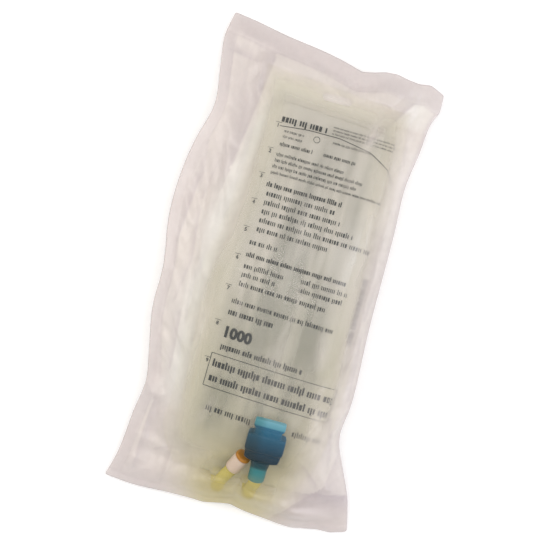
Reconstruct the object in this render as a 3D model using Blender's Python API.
"""A filled one-litre IV fluid bag, sealed in its milky overpouch and lying on its back.

Everything is in metres. +Y runs up the bag to its hanger slot and +Z is up. The finished model is
moved so that its origin is under the middle of its own bounding box, on the surface it lies on.
"""

import math

import bmesh
import bpy
import numpy as np
from mathutils import Matrix, Vector

# Pieces that touch on the real bag keep this much air between them.
TOUCH_GAP = 0.0003
# Sides of a round hole or of a half-round lump's arc, and sides of a small turned piece.
ROUND_SIDES = 24
TURNED_SIDES = 20
# Faces that meet at more than this are drawn with a sharp edge.
SHARP_ANGLE = math.radians(40)

# The bag is two sheets of soft film, welded at their edges, with a litre of fluid between them.
BAG_WIDTH = 0.116
BAG_LENGTH = 0.286
BAG_THICKNESS = 0.050
BAG_FILM = 0.0004
BAG_SEAL = 0.004
BAG_TOP_FLAP = 0.015

# The overpouch is two webs of film, heat sealed on their four sides. It is cut larger than the
# bag: by this much at each side, below the bag for its folded tubes, and above it.
SIDE_ROOM = 0.031
TUBE_ROOM = 0.0235
TOP_ROOM = 0.0335
POUCH_WIDTH = BAG_WIDTH + 2 * SIDE_ROOM
POUCH_LENGTH = TUBE_ROOM + BAG_LENGTH + TOP_ROOM
POUCH_FILM = 0.0003
# The left seal lies flat. The bag pushes the right one up on edge, so it is narrow from above.
LEFT_SEAL = 0.008
RIGHT_SEAL = 0.0025
TOP_SEAL = 0.014
BOTTOM_SEAL = 0.005
POUCH_COLUMNS = 20
POUCH_ROWS = 40
# Rows stand closer together at the ends, by this much of an even spacing.
END_CROWDING = 0.36

# Where the bag lies: right of the pouch's middle, and above the room for its tubes.
BAG_OFFSET = 0.004
BAG_BOTTOM = TUBE_ROOM - POUCH_LENGTH / 2
BAG_BASE = POUCH_FILM + TOUCH_GAP

# The pouch's edges wander once it is filled. A row is the share of the edge, how far the edge is
# pulled in from the flat cut, and how high the seal stands there. Sides run bottom to top and
# their pull is a share of the room beside the bag. Ends run left to right.
LEFT_EDGE = (
    (0.00, 0.057, 0.003),
    (0.04, 0.171, 0.004),
    (0.15, 0.300, 0.006),
    (0.21, 0.386, 0.008),
    (0.28, 0.269, 0.009),
    (0.37, 0.114, 0.009),
    (0.44, 0.129, 0.010),
    (0.56, -0.043, 0.008),
    (0.62, -0.046, 0.008),
    (0.72, 0.077, 0.008),
    (0.80, 0.280, 0.010),
    (0.88, 0.189, 0.007),
    (0.95, 0.109, 0.004),
    (1.00, 0.200, 0.003),
)
RIGHT_EDGE = (
    (0.00, -0.059, 0.003),
    (0.07, 0.148, 0.005),
    (0.15, 0.563, 0.009),
    (0.19, 0.767, 0.012),
    (0.28, 0.715, 0.016),
    (0.44, 0.778, 0.018),
    (0.68, 0.796, 0.018),
    (0.78, 0.826, 0.017),
    (0.86, 0.685, 0.013),
    (0.93, 0.589, 0.008),
    (0.98, 0.378, 0.006),
    (1.00, 0.444, 0.006),
)
TOP_EDGE = (
    (0.00, -0.0012, 0.003),
    (0.09, 0.0010, 0.004),
    (0.26, 0.0062, 0.005),
    (0.43, 0.0101, 0.006),
    (0.55, 0.0140, 0.006),
    (0.62, 0.0172, 0.006),
    (0.72, 0.0130, 0.006),
    (0.79, 0.0125, 0.006),
    (0.87, 0.0155, 0.006),
    (0.92, 0.0135, 0.006),
    (1.00, 0.0185, 0.006),
)
BOTTOM_EDGE = (
    (0.00, 0.0012, 0.003),
    (0.12, -0.0005, 0.004),
    (0.26, 0.0007, 0.006),
    (0.38, 0.0012, 0.009),
    (0.44, 0.0011, 0.010),
    (0.49, 0.0050, 0.011),
    (0.55, 0.0030, 0.010),
    (0.68, 0.0004, 0.008),
    (0.78, -0.0012, 0.005),
    (0.87, 0.0020, 0.003),
    (0.96, 0.0030, 0.002),
    (1.00, 0.0062, 0.003),
)

# Folds that stand up in the front web. A row is the two ends of the fold, as shares of the
# pouch's half width and half length from its middle, then its height and half its width.
FRONT_FOLDS = (
    ((0.652, 0.830), (0.411, 0.636), 0.0030, 0.010),
    ((-0.848, -0.566), (-0.747, -0.636), 0.0050, 0.010),
    ((-0.747, -0.636), (-0.781, -0.949), 0.0045, 0.010),
    ((-0.471, -0.809), (-0.519, -0.945), 0.0035, 0.010),
    ((0.306, -0.781), (0.407, -0.956), 0.0040, 0.011),
    ((0.730, -0.802), (0.938, -0.824), 0.0030, 0.009),
    ((-0.787, 0.554), (-0.629, 0.058), 0.0030, 0.012),
    ((-0.831, -0.058), (-0.697, -0.525), 0.0035, 0.012),
    ((-0.640, -0.080), (-0.560, -0.440), 0.0035, 0.013),
    ((0.560, 0.520), (0.640, 0.080), 0.0030, 0.012),
    ((0.640, -0.200), (0.660, -0.560), 0.0030, 0.012),
)

# A fold keeps this much of its height at its two ends.
FOLD_END_SHARE = 0.4

# How much of the way to a dead straight line the film is pulled, between the bag and its seals.
FILM_TAUTNESS = 0.50
# Air between the bag and the film over it.
DRAPE_GAP = 0.0009
# The film falls away from a hard lump at this slope.
TENT_SLOPE = 0.75

# How finely the bag's sheets are divided.
BAG_COLUMNS = 14
BAG_ROWS = 24
# The bag's top edge runs down to the right, by this much either side of its middle.
TOP_SLANT = 0.005
# Only the bag's top end is slanted: the slant grows with this power of the way up.
SLANT_POWER = 6

# A row is the share of the bag's length from its lower end, how far its middle line wanders to
# the right, how much wider each half is, and how high its edge weld stands.
BAG_SHAPE = (
    (0.00, -0.0025, -0.0145, 0.008),
    (0.05, -0.0035, -0.0050, 0.0084),
    (0.19, -0.0005, 0.0005, 0.014),
    (0.45, -0.0030, 0.0020, 0.018),
    (0.66, 0.0015, -0.0025, 0.018),
    (0.86, 0.0020, -0.0040, 0.013),
    (1.00, 0.0000, -0.0040, 0.008),
)
# Exponents of the filled bag's section across, and of its swell along, at either end.
SECTION_ROUNDNESS = (3.3, 0.50)
LOWER_SWELL = (2.2, 0.70)
UPPER_SWELL = (3.0, 0.65)
# The underside would swell this many times deeper than the table lets it.
BELLY_PRESS = 2.0

# A place on the bag is found from its x and y in this many steps, no further out than this
# many half widths.
PLACE_STEPS = 4
ACROSS_LIMIT = 2.0

# The fluid's facets keep this far from the sheets' faces and from their steep sides. It ends
# this many columns and rows of the sheets short of their edges: sides, lower end, upper end.
FLUID_FACE_GAP = 0.00075
FLUID_SIDE_GAP = 0.0010
FLUID_SKIPPED_COLUMNS = 2
FLUID_LOWER_SKIPPED_ROWS = 3
FLUID_UPPER_SKIPPED_ROWS = 4

HANGER_SLOT_LENGTH = 0.024
HANGER_SLOT_WIDTH = 0.006

# The two port tubes are welded into the bag's lower edge and folded up over its front. A tube's
# root is measured from the bag's middle line there.
TUBE_DIAMETER = 0.0096
TUBE_WALL = 0.0013
TUBE_SIDES = 10
FOLD_RADIUS = 0.0062
FOLD_STEPS = 4
TUBE_INSIDE_BAG = 0.004
COLLAR_WALL = 0.0008
COLLAR_LENGTH = 0.0055
COLLAR_LIP = 0.002
INJECTION_ROOT = -0.0105
OUTLET_ROOT = 0.0125
# A route has this many points for each one that is set, and runs straight for this long before
# a rigid piece.
ROUTE_STEPS = 2
LEAD_IN = 0.0032
# A rigid piece is tried against the bag at this many places along it, and at this many spokes
# either side of straight down.
TEST_STEPS = 12
TEST_SPOKES = 4

# The injection port ends in a moulded sleeve that holds a rubber septum. The septum's face and
# the bend before the sleeve are measured from the tube's root.
SEPTUM_PLACE = (0.0136, 0.0172)
INJECTION_BEND_PLACE = (0.0082, 0.0065)
INJECTION_SLOPE = 0.62
INJECTION_DRIFT = 0.003
SLEEVE_LENGTH = 0.0125
SLEEVE_WALL = 0.0007
SLEEVE_EDGE = 0.0003
SEPTUM_THICKNESS = 0.0026
SEPTUM_DOME = 0.0006
SEPTUM_EDGE = 0.0007
SEPTUM_PLUG_LENGTH = 0.004

# The outlet port is closed by a thin membrane in the tube and by a moulded pull-off protector,
# whose open end is measured from the tube's root.
MEMBRANE_THICKNESS = 0.0008
MEMBRANE_DEPTH = 0.006
OUTLET_GRIP_LENGTH = 0.015
OUTLET_DRIFT = 0.002
PROTECTOR_PLACE = (0.0035, 0.0051)
PROTECTOR_SLOPE = 0.44
# It rides up on the edge of the septum, which it half covers.
PROTECTOR_LIFT = 0.0022
PROTECTOR_SIDES = 28
NECK_WALL = 0.0009
NECK_DIAMETER = TUBE_DIAMETER + 2 * (TOUCH_GAP + NECK_WALL)
# How square a section of the protector is: 2 is an ellipse, and more is squarer.
ROUND = 2.0
OVAL = 2.2
SOFT = 4.0
SQUARED = 5.0
BOXY = 6.0
# A row is the distance up the protector from its open end, its width, its thickness and how
# square its section is there.
PROTECTOR_SECTIONS = (
    (0.0000, NECK_DIAMETER, NECK_DIAMETER, ROUND),
    (0.0100, NECK_DIAMETER, NECK_DIAMETER, ROUND),
    (0.0104, 0.0126, 0.0126, ROUND),
    (0.0160, 0.0140, 0.0136, OVAL),
    (0.0164, 0.0236, 0.0090, SOFT),
    (0.0172, 0.0250, 0.0100, SQUARED),
    (0.0216, 0.0256, 0.0104, SQUARED),
    (0.0222, 0.0240, 0.0100, SQUARED),
    (0.0232, 0.0240, 0.0100, SQUARED),
    (0.0238, 0.0270, 0.0118, SQUARED),
    (0.0250, 0.0276, 0.0126, SQUARED),
    (0.0350, 0.0276, 0.0126, SQUARED),
    (0.0362, 0.0264, 0.0118, SQUARED),
    (0.0368, 0.0194, 0.0104, SQUARED),
    (0.0410, 0.0190, 0.0100, SQUARED),
    (0.0416, 0.0214, 0.0064, SQUARED),
    (0.0424, 0.0222, 0.0060, BOXY),
    (0.0468, 0.0222, 0.0050, BOXY),
    (0.0476, 0.0210, 0.0036, BOXY),
)

# Colours are linear RGB, then roughness.
FINISHES = {
    "overpouch_film": ((0.72, 0.66, 0.64), 0.35),
    "bag_film": ((0.56, 0.58, 0.47), 0.30),
    "saline_fluid": ((0.60, 0.63, 0.50), 0.05),
    "port_tube_vinyl": ((0.56, 0.48, 0.20), 0.35),
    "sleeve_vinyl": ((0.66, 0.50, 0.44), 0.40),
    "septum_rubber": ((0.46, 0.19, 0.02), 0.60),
    "protector_polyethylene": ((0.008, 0.095, 0.20), 0.35),
}


def material(name):
    """The named finish as a Principled material."""
    made = bpy.data.materials.get(name)
    if made:
        return made
    colour, roughness = FINISHES[name]
    made = bpy.data.materials.new(name)
    made.use_nodes = True
    shader = made.node_tree.nodes["Principled BSDF"]
    shader.inputs["Base Color"].default_value = (*colour, 1.0)
    shader.inputs["Roughness"].default_value = roughness
    shader.inputs["Metallic"].default_value = 0.0
    made.diffuse_color = (*colour, 1.0)
    return made


def link(name, bm, finish):
    """A mesh object in the scene, shaded smooth apart from its sharp edges."""
    mesh = bpy.data.meshes.new(name)
    bm.to_mesh(mesh)
    bm.free()
    mesh.shade_smooth()
    mesh.set_sharp_from_angle(angle=SHARP_ANGLE)
    obj = bpy.data.objects.new(name, mesh)
    bpy.context.collection.objects.link(obj)
    if finish:
        obj.data.materials.append(material(finish))
    return obj


def mark_as_cutter(obj):
    """A guide shape that shows as wire and is never part of the model."""
    obj.hide_render = True
    obj.display_type = "WIRE"
    return obj


def cut(obj, cutter, operation="DIFFERENCE"):
    """A live Boolean with another object."""
    modifier = obj.modifiers.new(operation.lower(), "BOOLEAN")
    modifier.operation = operation
    modifier.solver = "EXACT"
    modifier.object = cutter


def smooth_read(table, share):
    """The columns of a hand-set table at a share, on one smooth curve through its rows."""
    at = np.array([row[0] for row in table])
    values = np.array([row[1:] for row in table])
    slopes = np.gradient(values, at, axis=0)
    i = int(np.clip(np.searchsorted(at, share, side="right") - 1, 0, len(at) - 2))
    span = at[i + 1] - at[i]
    u = (share - at[i]) / span
    start = (1 + 2 * u) * (1 - u) ** 2 * values[i] + u * (1 - u) ** 2 * span * slopes[i]
    end = u * u * (3 - 2 * u) * values[i + 1] + u * u * (u - 1) * span * slopes[i + 1]
    return start + end


def room_beside(side):
    """How much wider the pouch is than the bag, on its left or its right."""
    return SIDE_ROOM - BAG_OFFSET if side == "right" else SIDE_ROOM + BAG_OFFSET


def pouch_edge(side, share):
    """A point of the pouch's outline: x, y and the height of its seal."""
    half_width = POUCH_WIDTH / 2
    half_length = POUCH_LENGTH / 2
    table = {"left": LEFT_EDGE, "right": RIGHT_EDGE, "top": TOP_EDGE, "bottom": BOTTOM_EDGE}[side]
    pull, height = smooth_read(table, share)
    if side in ("left", "right"):
        # A side starts and ends at the corners, which the end edges have pulled in as well.
        low = -half_length + corner_pull(BOTTOM_EDGE, side == "right")
        high = half_length - corner_pull(TOP_EDGE, side == "right")
        y = low + (high - low) * share
        pulled = half_width - pull * room_beside(side)
        x = pulled if side == "right" else -pulled
    else:
        left = corner_pull(LEFT_EDGE, side == "top") * room_beside("left") - half_width
        right = half_width - corner_pull(RIGHT_EDGE, side == "top") * room_beside("right")
        x = left + (right - left) * share
        y = half_length - pull if side == "top" else pull - half_length
    return np.array((x, y, height))


def corner_pull(table, last):
    """How far an edge is pulled in at its first or last corner."""
    return table[-1][1] if last else table[0][1]


def pouch_place(across, along):
    """A point of the flat pouch, spread between its four wandering edges as a Coons patch."""
    left = pouch_edge("left", along)
    right = pouch_edge("right", along)
    bottom = pouch_edge("bottom", across)
    top = pouch_edge("top", across)
    sides = (1 - across) * left + across * right
    ends = (1 - along) * bottom + along * top
    corners = (1 - along) * ((1 - across) * pouch_edge("left", 0) + across * pouch_edge("right", 0))
    corners += along * ((1 - across) * pouch_edge("left", 1) + across * pouch_edge("right", 1))
    return sides + ends - corners


def banded(count, first, last, crowding):
    """Shares of an edge with one cell for each seal, and the rest crowded towards the ends."""
    even = np.linspace(0.0, 1.0, count - 1)
    crowded = even - crowding * np.sin(2 * math.pi * even) / (2 * math.pi)
    return np.concatenate(((0.0,), first + (1 - first - last) * crowded, (1.0,)))


def bag_line(along):
    """The middle line, the half width and the weld height at a share of the bag's length."""
    wander, wider, weld = smooth_read(BAG_SHAPE, along)
    return BAG_OFFSET + wander, BAG_WIDTH / 2 + wider, weld


def bag_fill(across, along):
    """How swollen the bag is: 1 in its middle and 0 from its welds outwards."""
    half_width = bag_line(along)[1]
    side = min(1.0, abs(across) * half_width / (half_width - BAG_SEAL))
    power, lift = SECTION_ROUNDNESS
    section = (1 - side**power) ** lift
    low = BAG_SEAL / BAG_LENGTH
    high = 1 - BAG_TOP_FLAP / BAG_LENGTH
    middle = (low + high) / 2
    end = min(1.0, abs(along - middle) / (middle - low))
    power, lift = LOWER_SWELL if along < middle else UPPER_SWELL
    return section * (1 - end**power) ** lift


def bag_inner_heights(across, along):
    """The inner faces of the bag's back and front sheets at one place."""
    weld = bag_line(along)[2]
    fill = bag_fill(across, along)
    top = BAG_BASE + BAG_THICKNESS - BAG_FILM
    front = weld + TOUCH_GAP / 2 + (top - weld) * fill
    back = weld - TOUCH_GAP / 2 - BELLY_PRESS * (weld - BAG_BASE) * fill
    return max(back, BAG_BASE + BAG_FILM), front


def bag_place(across, along):
    """Where a share across and along the bag lies on the table."""
    middle, half_width, _ = bag_line(along)
    slant = TOP_SLANT * across * along**SLANT_POWER
    return middle + half_width * across, BAG_BOTTOM + BAG_LENGTH * along - slant


def bag_outer_heights(x, y):
    """The undersides and the tops of the bag at a place, or None beside the bag."""
    across = 0.0
    along = 0.0
    for _ in range(PLACE_STEPS):
        slant = TOP_SLANT * across * abs(along) ** SLANT_POWER
        along = (y + slant - BAG_BOTTOM) / BAG_LENGTH
        middle, half_width, _ = bag_line(min(1.0, max(0.0, along)))
        across = max(-ACROSS_LIMIT, min(ACROSS_LIMIT, (x - middle) / half_width))
    if not 0 <= along <= 1 or abs(across) > 1:
        return None
    back, front = bag_inner_heights(across, along)
    return back - BAG_FILM, front + BAG_FILM


def bag_shares():
    """Shares across and along the bag, closer together where its sides are steep."""
    seal = BAG_SEAL / (BAG_WIDTH / 2)
    turns = np.linspace(-math.pi / 2, math.pi / 2, BAG_COLUMNS - 1)
    across = np.concatenate(((-1.0,), np.sin(turns) * (1 - seal), (1.0,)))
    low = BAG_SEAL / BAG_LENGTH
    high = 1 - BAG_TOP_FLAP / BAG_LENGTH
    turns = np.linspace(-math.pi / 2, math.pi / 2, BAG_ROWS - 2)
    inner = (low + high) / 2 + (high - low) / 2 * np.sin(turns)
    along = np.concatenate(((0.0,), inner, ((1 + high) / 2, 1.0)))
    return across, along


def sheet(name, grid, thickness, faces_up, finish):
    """A web of film: a grid of its inner face, thickened on the side that faces out."""
    bm = bmesh.new()
    rows = [[bm.verts.new(point) for point in row] for row in grid]
    for lower, upper in zip(rows, rows[1:]):
        for i in range(len(lower) - 1):
            corners = (lower[i], lower[i + 1], upper[i + 1], upper[i])
            bm.faces.new(corners if faces_up else corners[::-1])
    obj = link(name, bm, finish)
    solid = obj.modifiers.new("film", "SOLIDIFY")
    solid.thickness = thickness
    solid.offset = 1.0
    return obj


def bag_grid(pick):
    """Points of one inner face of the bag, where pick is 0 for the back and 1 for the front."""
    across_shares, along_shares = bag_shares()
    grid = []
    for along in along_shares:
        row = []
        for across in across_shares:
            z = bag_inner_heights(across, along)[pick]
            row.append((*bag_place(across, along), z))
        grid.append(row)
    return grid


def slot_cutter():
    """A round-ended bar through the bag's top flap."""
    middle, y = bag_place(0.0, 1 - BAG_TOP_FLAP / 2 / BAG_LENGTH)
    reach = HANGER_SLOT_LENGTH / 2 - HANGER_SLOT_WIDTH / 2
    bm = bmesh.new()
    outline = []
    for step in range(ROUND_SIDES):
        angle = 2 * math.pi * (step + 0.5) / ROUND_SIDES
        end = reach if math.cos(angle) > 0 else -reach
        x = middle + end + HANGER_SLOT_WIDTH / 2 * math.cos(angle)
        outline.append(bm.verts.new((x, y + HANGER_SLOT_WIDTH / 2 * math.sin(angle), 0.0)))
    face = bm.faces.new(outline)
    raised = bmesh.ops.extrude_face_region(bm, geom=[face])["geom"]
    top = [v for v in raised if isinstance(v, bmesh.types.BMVert)]
    bmesh.ops.translate(bm, verts=top, vec=(0, 0, BAG_THICKNESS))
    bmesh.ops.recalc_face_normals(bm, faces=bm.faces)
    return mark_as_cutter(link("hanger_slot_cutter", bm, None))


def collar(name, root_x, upper):
    """Half a round lump that a bag sheet forms over a tube where the two are welded."""
    weld = bag_line(0.0)[2]
    outer = TUBE_DIAMETER / 2 + TOUCH_GAP + COLLAR_WALL
    flip = 1 if upper else -1
    foot = weld + (TOUCH_GAP / 2 + BAG_FILM / 4) * flip
    bm = bmesh.new()
    profile = []
    for step in range(ROUND_SIDES // 2 + 1):
        angle = 2 * math.pi * step / ROUND_SIDES
        z = max(outer * math.sin(angle) + weld * flip, foot * flip) * flip
        profile.append(bm.verts.new((root_x + outer * math.cos(angle), BAG_BOTTOM - COLLAR_LIP, z)))
    face = bm.faces.new(profile)
    raised = bmesh.ops.extrude_face_region(bm, geom=[face])["geom"]
    far = [v for v in raised if isinstance(v, bmesh.types.BMVert)]
    bmesh.ops.translate(bm, verts=far, vec=(0, COLLAR_LENGTH, 0))
    bmesh.ops.recalc_face_normals(bm, faces=bm.faces)
    return mark_as_cutter(link(name, bm, None))


def channel_cutter(root_x):
    """The round way of a tube through the weld."""
    bm = bmesh.new()
    length = 2 * (TUBE_INSIDE_BAG + BAG_SEAL)
    bmesh.ops.create_cone(
        bm,
        cap_ends=True,
        segments=ROUND_SIDES,
        radius1=TUBE_DIAMETER / 2 + TOUCH_GAP,
        radius2=TUBE_DIAMETER / 2 + TOUCH_GAP,
        depth=length,
    )
    bmesh.ops.rotate(bm, verts=bm.verts, cent=(0, 0, 0), matrix=Matrix.Rotation(math.pi / 2, 3, "X"))
    bmesh.ops.translate(bm, verts=bm.verts, vec=(root_x, BAG_BOTTOM, bag_line(0.0)[2]))
    return mark_as_cutter(link("tube_channel_cutter", bm, None))


def build_bag():
    """The bag's two sheets and the fluid between them."""
    back = sheet("bag_back_sheet", bag_grid(0), BAG_FILM, False, "bag_film")
    front = sheet("bag_front_sheet", bag_grid(1), BAG_FILM, True, "bag_film")
    for root, port in ((INJECTION_ROOT, "injection"), (OUTLET_ROOT, "outlet")):
        root_x = bag_line(0.0)[0] + root
        cut(front, collar(port + "_collar_front", root_x, True), "UNION")
        cut(back, collar(port + "_collar_back", root_x, False), "UNION")
        channel = channel_cutter(root_x)
        cut(front, channel)
        cut(back, channel)
    slot = slot_cutter()
    cut(front, slot)
    cut(back, slot)
    build_fluid()


def build_fluid():
    """The litre of fluid: the space between the sheets, held off them by a small gap."""
    columns = slice(FLUID_SKIPPED_COLUMNS, -FLUID_SKIPPED_COLUMNS)
    rows = slice(FLUID_LOWER_SKIPPED_ROWS, -FLUID_UPPER_SKIPPED_ROWS)
    lower = [row[columns] for row in bag_grid(0)[rows]]
    upper = [row[columns] for row in bag_grid(1)[rows]]
    bm = bmesh.new()
    under = [[bm.verts.new(off_sheet(point, 1)) for point in row] for row in lower]
    over = [[bm.verts.new(off_sheet(point, -1)) for point in row] for row in upper]
    for j in range(len(over) - 1):
        for i in range(len(over[0]) - 1):
            bm.faces.new((over[j][i], over[j][i + 1], over[j + 1][i + 1], over[j + 1][i]))
            bm.faces.new((under[j][i], under[j + 1][i], under[j + 1][i + 1], under[j][i + 1]))
    rim = outline_of(over)
    foot = outline_of(under)
    for k in range(len(rim)):
        nxt = (k + 1) % len(rim)
        bm.faces.new((foot[k], foot[nxt], rim[nxt], rim[k]))
    link("fluid_fill", bm, "saline_fluid")


def off_sheet(point, direction):
    """A point of the bag's inner face, moved inwards from the sheet: up or down, and sideways."""
    x, y, z = point
    inwards = math.copysign(min(FLUID_SIDE_GAP, abs(x - BAG_OFFSET)), x - BAG_OFFSET)
    return x - inwards, y, z + FLUID_FACE_GAP * direction


def outline_of(rows):
    """The border of a grid, anticlockwise from its first point."""
    right = [row[-1] for row in rows[1:-1]]
    left = [row[0] for row in rows[-2:0:-1]]
    return rows[0] + right + rows[-1][::-1] + left


def curve_through(points, steps):
    """A smooth route through a few points, with even steps between each two."""
    path = [Vector(p) for p in points]
    path = [path[0] * 2 - path[1]] + path + [path[-1] * 2 - path[-2]]
    route = []
    for a, b, c, d in zip(path, path[1:], path[2:], path[3:]):
        for step in range(steps):
            u = step / steps
            route.append(catmull_rom(a, b, c, d, u))
    route.append(path[-2])
    return route


def catmull_rom(a, b, c, d, u):
    """A point between b and c on the smooth curve that also looks to a and d."""
    along = (c - a) * u
    bow = (2 * a - 5 * b + 4 * c - d) * u * u
    twist = (3 * b - a - 3 * c + d) * u**3
    return b + (along + bow + twist) / 2


def ring_frames(route):
    """An unturned pair of side vectors at each point of a route."""
    frames = []
    side = Vector((1.0, 0.0, 0.0))
    for i, point in enumerate(route):
        ahead = (route[min(i + 1, len(route) - 1)] - route[max(i - 1, 0)]).normalized()
        side = (side - ahead * side.dot(ahead)).normalized()
        frames.append((point, side.copy(), ahead.cross(side)))
    return frames


def hose(name, route, finish):
    """A hollow tube along a route, open at both ends."""
    outer = TUBE_DIAMETER / 2
    inner = outer - TUBE_WALL
    bm = bmesh.new()
    skins = []
    for radius in (outer, inner):
        rings = []
        for point, side, up in ring_frames(route):
            ring = []
            for step in range(TUBE_SIDES):
                angle = 2 * math.pi * step / TUBE_SIDES
                spoke = side * math.cos(angle) + up * math.sin(angle)
                ring.append(bm.verts.new(point + spoke * radius))
            rings.append(ring)
        skins.append(rings)
    for rings, outward in zip(skins, (True, False)):
        for first, second in zip(rings, rings[1:]):
            stitch(bm, first, second, outward)
    stitch(bm, skins[0][0], skins[1][0], False)
    stitch(bm, skins[0][-1], skins[1][-1], True)
    bmesh.ops.recalc_face_normals(bm, faces=bm.faces)
    return link(name, bm, finish)


def stitch(bm, first, second, outward):
    """A band of faces between two rings."""
    for k in range(len(first)):
        nxt = (k + 1) % len(first)
        band = (first[k], first[nxt], second[nxt], second[k])
        bm.faces.new(band if outward else band[::-1])


def turned(name, profile, finish, place, axis):
    """A turned piece: radius and height pairs spun round, set at a place along an axis."""
    bm = bmesh.new()
    verts = [bm.verts.new((radius, 0.0, height)) for radius, height in profile]
    edges = [bm.edges.new(pair) for pair in zip(verts, verts[1:])]
    if profile[0][0] > 0:
        edges.append(bm.edges.new((verts[-1], verts[0])))
    bmesh.ops.spin(
        bm,
        geom=verts + edges,
        cent=(0, 0, 0),
        axis=(0, 0, 1),
        angle=2 * math.pi,
        steps=TURNED_SIDES,
        use_merge=True,
    )
    bmesh.ops.remove_doubles(bm, verts=bm.verts, dist=1e-6)
    bmesh.ops.recalc_face_normals(bm, faces=bm.faces)
    obj = link(name, bm, finish)
    turn = Vector(axis).to_track_quat("Z", "Y")
    obj.matrix_world = Matrix.Translation(place) @ turn.to_matrix().to_4x4()
    return obj


def folded_root(root_x, drift):
    """A tube's first points: out of the bag's lower edge, then round the fold."""
    weld = bag_line(0.0)[2]
    turn_y = BAG_BOTTOM - COLLAR_LIP - TOUCH_GAP
    points = [(root_x, BAG_BOTTOM + TUBE_INSIDE_BAG, weld), (root_x, turn_y, weld)]
    for step in range(1, FOLD_STEPS + 1):
        angle = math.pi * step / FOLD_STEPS
        y = turn_y - FOLD_RADIUS * math.sin(angle)
        z = weld + FOLD_RADIUS * (1 - math.cos(angle))
        points.append((root_x + drift * step / FOLD_STEPS, y, z))
    return points


def from_root(root, place):
    """A point of the table that is measured from a tube's root, at no height."""
    return Vector((bag_line(0.0)[0] + root + place[0], BAG_BOTTOM + place[1], 0.0))


def lifted_off_bag(start, axis, length, radius):
    """The start of a straight round piece, raised until all of it just clears the bag's front."""
    side = axis.cross(Vector((0.0, 0.0, 1.0))).normalized()
    down = axis.cross(side)
    lift = -1.0
    for step in range(TEST_STEPS + 1):
        middle = start + axis * length * step / TEST_STEPS
        for turn in range(-TEST_SPOKES, TEST_SPOKES + 1):
            angle = math.pi / 2 * turn / (TEST_SPOKES + 1)
            point = middle + (side * math.sin(angle) + down * math.cos(angle)) * radius
            heights = bag_outer_heights(point.x, point.y)
            if heights:
                lift = max(lift, heights[1] - point.z)
    return start + Vector((0, 0, lift + TOUCH_GAP * 2))


def straight_run(start, axis, length):
    """Points that hold a smooth route straight inside the piece on its end."""
    return [start - axis * LEAD_IN, start, start + axis * length / 2, start + axis * length]


def lumps_along(route, radius):
    """Where a round piece pushes the film out: x, y, its underside and its top."""
    reach = radius + TOUCH_GAP + BAG_FILM * 2
    return [(p.x, p.y, p.z - reach, p.z + reach) for p in route]


def injection_port():
    """The injection port's tube, sleeve and septum. Returns the lumps that they make."""
    outer = TUBE_DIAMETER / 2
    sleeve_outer = outer + TOUCH_GAP + SLEEVE_WALL
    sideways = Vector(SEPTUM_PLACE) - Vector(INJECTION_BEND_PLACE)
    axis = Vector((*sideways, INJECTION_SLOPE * sideways.length)).normalized()
    laid = from_root(INJECTION_ROOT, SEPTUM_PLACE) - axis * SLEEVE_LENGTH
    rigid_length = SLEEVE_LENGTH + TOUCH_GAP + SEPTUM_THICKNESS + SEPTUM_DOME
    sleeve_start = lifted_off_bag(laid, axis, rigid_length, sleeve_outer)
    end = sleeve_start + axis * SLEEVE_LENGTH
    points = folded_root(from_root(INJECTION_ROOT, (0, 0)).x, INJECTION_DRIFT)
    points += straight_run(sleeve_start, axis, SLEEVE_LENGTH)
    route = curve_through(points, ROUTE_STEPS)
    hose("injection_port_tube", route, "port_tube_vinyl")
    bore = outer + TOUCH_GAP
    sleeve = [
        (bore, 0.0),
        (sleeve_outer - SLEEVE_EDGE, 0.0),
        (sleeve_outer, SLEEVE_EDGE * 2),
        (sleeve_outer, SLEEVE_LENGTH - SLEEVE_EDGE * 2),
        (sleeve_outer - SLEEVE_EDGE, SLEEVE_LENGTH),
        (bore, SLEEVE_LENGTH),
    ]
    turned("injection_port_sleeve", sleeve, "sleeve_vinyl", sleeve_start, axis)
    plug = outer - TUBE_WALL - TOUCH_GAP
    septum = [
        (0.0, -SEPTUM_PLUG_LENGTH),
        (plug - SEPTUM_EDGE, -SEPTUM_PLUG_LENGTH),
        (plug, SEPTUM_EDGE - SEPTUM_PLUG_LENGTH),
        (plug, TOUCH_GAP),
        (sleeve_outer, TOUCH_GAP),
        (sleeve_outer, TOUCH_GAP + SEPTUM_THICKNESS - SEPTUM_EDGE),
        (sleeve_outer - SEPTUM_EDGE, TOUCH_GAP + SEPTUM_THICKNESS),
        (0.0, TOUCH_GAP + SEPTUM_THICKNESS + SEPTUM_DOME),
    ]
    turned("injection_port_septum", septum, "septum_rubber", end, axis)
    tip = end + axis * (SEPTUM_THICKNESS + SEPTUM_DOME)
    return lumps_along(route + [tip], sleeve_outer)


def protector_frame():
    """The open end of the protector and the direction up its axis."""
    axis = Vector((0.0, 1.0, PROTECTOR_SLOPE)).normalized()
    deepest = max(row[2] for row in PROTECTOR_SECTIONS) / 2
    start = from_root(OUTLET_ROOT, PROTECTOR_PLACE)
    laid = lifted_off_bag(start, axis, PROTECTOR_SECTIONS[-1][0], deepest)
    return laid + Vector((0, 0, PROTECTOR_LIFT)), axis


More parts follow.
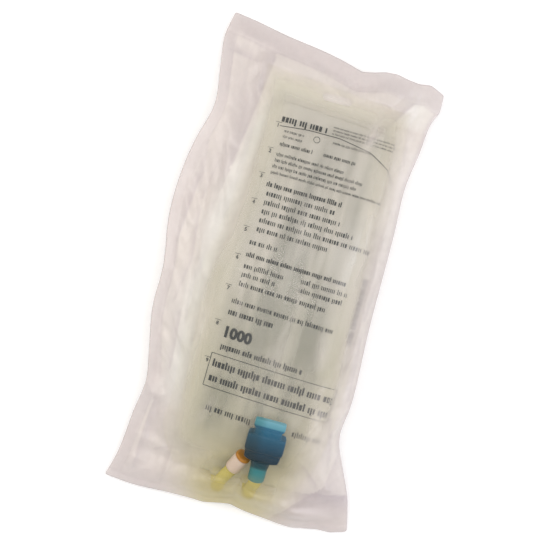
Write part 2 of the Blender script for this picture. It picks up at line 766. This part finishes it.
def outlet_port():
    """The outlet port's tube, membrane and protector. Returns the lumps that they make."""
    start, axis = protector_frame()
    grip_end = start + axis * OUTLET_GRIP_LENGTH
    points = folded_root(from_root(OUTLET_ROOT, (0, 0)).x, OUTLET_DRIFT)
    points += straight_run(start, axis, OUTLET_GRIP_LENGTH)
    route = curve_through(points, ROUTE_STEPS)
    hose("outlet_port_tube", route, "port_tube_vinyl")
    bore = TUBE_DIAMETER / 2 - TUBE_WALL - TOUCH_GAP
    membrane = [
        (0.0, 0.0),
        (bore, 0.0),
        (bore, MEMBRANE_THICKNESS),
        (0.0, MEMBRANE_THICKNESS),
    ]
    seat = grip_end - axis * MEMBRANE_DEPTH
    turned("outlet_membrane", membrane, "port_tube_vinyl", seat, axis)
    return lumps_along(route, TUBE_DIAMETER / 2) + port_protector(start, axis)


def section_ring(width, thickness, roundness):
    """A rounded section across the protector: an ellipse that may be squared up."""
    ring = []
    for step in range(PROTECTOR_SIDES):
        angle = 2 * math.pi * (step + 0.5) / PROTECTOR_SIDES
        c = math.cos(angle)
        s = math.sin(angle)
        x = width / 2 * math.copysign(abs(c) ** (2 / roundness), c)
        z = thickness / 2 * math.copysign(abs(s) ** (2 / roundness), s)
        ring.append((x, z))
    return ring


def port_protector(start, axis):
    """The moulded protector: lofted sections outside, and a blind bore for the tube inside.

    Returns the lumps that its upper side makes.
    """
    sideways = Vector((1.0, 0.0, 0.0))
    up = sideways.cross(axis)
    bm = bmesh.new()
    rings = []
    tops = []
    for along, width, thickness, roundness in PROTECTOR_SECTIONS:
        ring = []
        for x, z in section_ring(width, thickness, roundness):
            point = start + axis * along + sideways * x + up * z
            ring.append(bm.verts.new(point))
            if z > 0:
                tops.append((point.x, point.y, point.z, point.z))
        rings.append(ring)
    for first, second in zip(rings, rings[1:]):
        stitch(bm, first, second, True)
    bm.faces.new(rings[-1])
    bore = TUBE_DIAMETER / 2 + TOUCH_GAP
    inner = []
    for depth in (0.0, OUTLET_GRIP_LENGTH + TOUCH_GAP * 2):
        ring = []
        for x, z in section_ring(bore * 2, bore * 2, ROUND):
            ring.append(bm.verts.new(start + axis * depth + sideways * x + up * z))
        inner.append(ring)
    stitch(bm, rings[0], inner[0], False)
    stitch(bm, inner[0], inner[1], False)
    bm.faces.new(inner[1])
    bmesh.ops.recalc_face_normals(bm, faces=bm.faces)
    link("port_protector", bm, "protector_polyethylene")
    return tops


def taut(x, z, over):
    """A film pulled straight over points, or under them: their hull, read back at each point."""
    sign = 1 if over else -1
    kept = []
    for point in zip(x, z * sign):
        while len(kept) > 1 and turns_left(kept[-2], kept[-1], point):
            kept.pop()
        kept.append(point)
    xs, zs = zip(*kept)
    return np.interp(x, xs, zs) * sign


def turns_left(a, b, c):
    """Whether a path over three points bends upwards at the middle one."""
    return (b[0] - a[0]) * (c[1] - a[1]) - (b[1] - a[1]) * (c[0] - a[0]) >= 0


def on_pouch(shares):
    """A place on the flat pouch, from shares of its half width and half length."""
    return Vector((shares[0] * POUCH_WIDTH / 2, shares[1] * POUCH_LENGTH / 2))


def fold_lift(x, y):
    """How far the front web's standing folds raise it at a place."""
    lift = 0.0
    for start, end, height, half_width in FRONT_FOLDS:
        foot = on_pouch(start)
        run = on_pouch(end) - foot
        offset = Vector((x, y)) - foot
        share = min(1.0, max(0.0, offset.dot(run) / run.length_squared))
        away = (offset - run * share).length
        fade = FOLD_END_SHARE + (1 - FOLD_END_SHARE) * math.sin(math.pi * share)
        lift = max(lift, height * fade * max(0.0, 1 - away / half_width))
    return lift


def tent(x, y, lumps, plateau):
    """The film's limits at hard lumps: flat on them, then away from them at an even slope."""
    slack = TENT_SLOPE * np.maximum(0.0, np.hypot(lumps[:, 0] - x, lumps[:, 1] - y) - plateau)
    return float(np.max(lumps[:, 3] - slack)), float(np.min(lumps[:, 2] + slack))


def build_pouch(lumps):
    """The two webs of the overpouch, drawn taut between their seals over what is inside."""
    lumps = np.array(lumps)
    left, right = LEFT_SEAL / POUCH_WIDTH, RIGHT_SEAL / POUCH_WIDTH
    across_shares = banded(POUCH_COLUMNS, left, right, 0.0)
    bottom, top = BOTTOM_SEAL / POUCH_LENGTH, TOP_SEAL / POUCH_LENGTH
    along_shares = banded(POUCH_ROWS, bottom, top, END_CROWDING)
    half_x = POUCH_WIDTH / POUCH_COLUMNS / 2
    half_y = POUCH_LENGTH / POUCH_ROWS / 2
    plateau = math.hypot(half_x, half_y)
    front = []
    back = []
    for j, along in enumerate(along_shares):
        places = np.array([pouch_place(across, along) for across in across_shares])
        x = places[:, 0]
        seal = places[:, 2].copy()
        if j in (0, 1, len(along_shares) - 2, len(along_shares) - 1):
            high = seal
            low = seal
        else:
            highest, lowest = obstacles(places, half_x, half_y, lumps, plateau)
            inner = slice(1, -1)
            high = seal.copy()
            low = seal.copy()
            high[inner] = drawn(x[inner], seal[inner], highest[inner], True)
            low[inner] = drawn(x[inner], seal[inner], lowest[inner], False)
            high[inner] += [fold_lift(px, py) for px, py, _ in places[inner]]
            low[inner] = np.maximum(low[inner], POUCH_FILM)
        low = np.minimum(low, high)
        front.append([(px, py, z + TOUCH_GAP / 2) for (px, py, _), z in zip(places, high)])
        back.append([(px, py, max(z - TOUCH_GAP / 2, POUCH_FILM)) for (px, py, _), z in zip(places, low)])
    sheet("overpouch_front", front, POUCH_FILM, True, "overpouch_film")
    sheet("overpouch_back", back, POUCH_FILM, False, "overpouch_film")


def drawn(x, seal, limit, over):
    """A film between two seals that has to clear a limit, drawn nearly straight."""
    chord = np.interp(x, (x[0], x[-1]), (seal[0], seal[-1]))
    pick = np.maximum if over else np.minimum
    clear = pick(limit, chord)
    clear[0] = seal[0]
    clear[-1] = seal[-1]
    straight = taut(x, clear, over)
    return clear + (straight - clear) * FILM_TAUTNESS


def obstacles(places, half_x, half_y, lumps, plateau):
    """The height the front web must clear, and the height the back web must stay under."""
    highest = []
    lowest = []
    for x, y, seal in places:
        over = seal
        under = seal
        for dx in (-half_x, 0.0, half_x):
            for dy in (-half_y, 0.0, half_y):
                heights = bag_outer_heights(x + dx, y + dy)
                if heights:
                    under = min(under, heights[0] - TOUCH_GAP / 2)
                    over = max(over, heights[1] + DRAPE_GAP)
        lump_top, lump_foot = tent(x, y, lumps, plateau)
        over = max(over, lump_top + DRAPE_GAP)
        under = min(under, lump_foot - TOUCH_GAP * 2)
        highest.append(over)
        lowest.append(under)
    return np.array(highest), np.array(lowest)


def centre_on_origin():
    """Move the model so that the origin is under the middle of its bounding box."""
    pieces = [o for o in bpy.data.objects if o.type == "MESH"]
    depsgraph = bpy.context.evaluated_depsgraph_get()
    corners = []
    for piece in pieces:
        if piece.hide_render:
            continue
        shown = piece.evaluated_get(depsgraph)
        corners += [shown.matrix_world @ Vector(c) for c in shown.bound_box]
    low = [min(c[k] for c in corners) for k in range(3)]
    high = [max(c[k] for c in corners) for k in range(3)]
    shift = Matrix.Translation((-(low[0] + high[0]) / 2, -(low[1] + high[1]) / 2, -low[2]))
    for piece in pieces:
        piece.matrix_world = shift @ piece.matrix_world


def main():
    for old in list(bpy.data.objects):
        bpy.data.objects.remove(old, do_unlink=True)
    build_bag()
    lumps = injection_port()
    lumps += outlet_port()
    build_pouch(lumps)
    bpy.context.view_layer.update()
    centre_on_origin()


main()
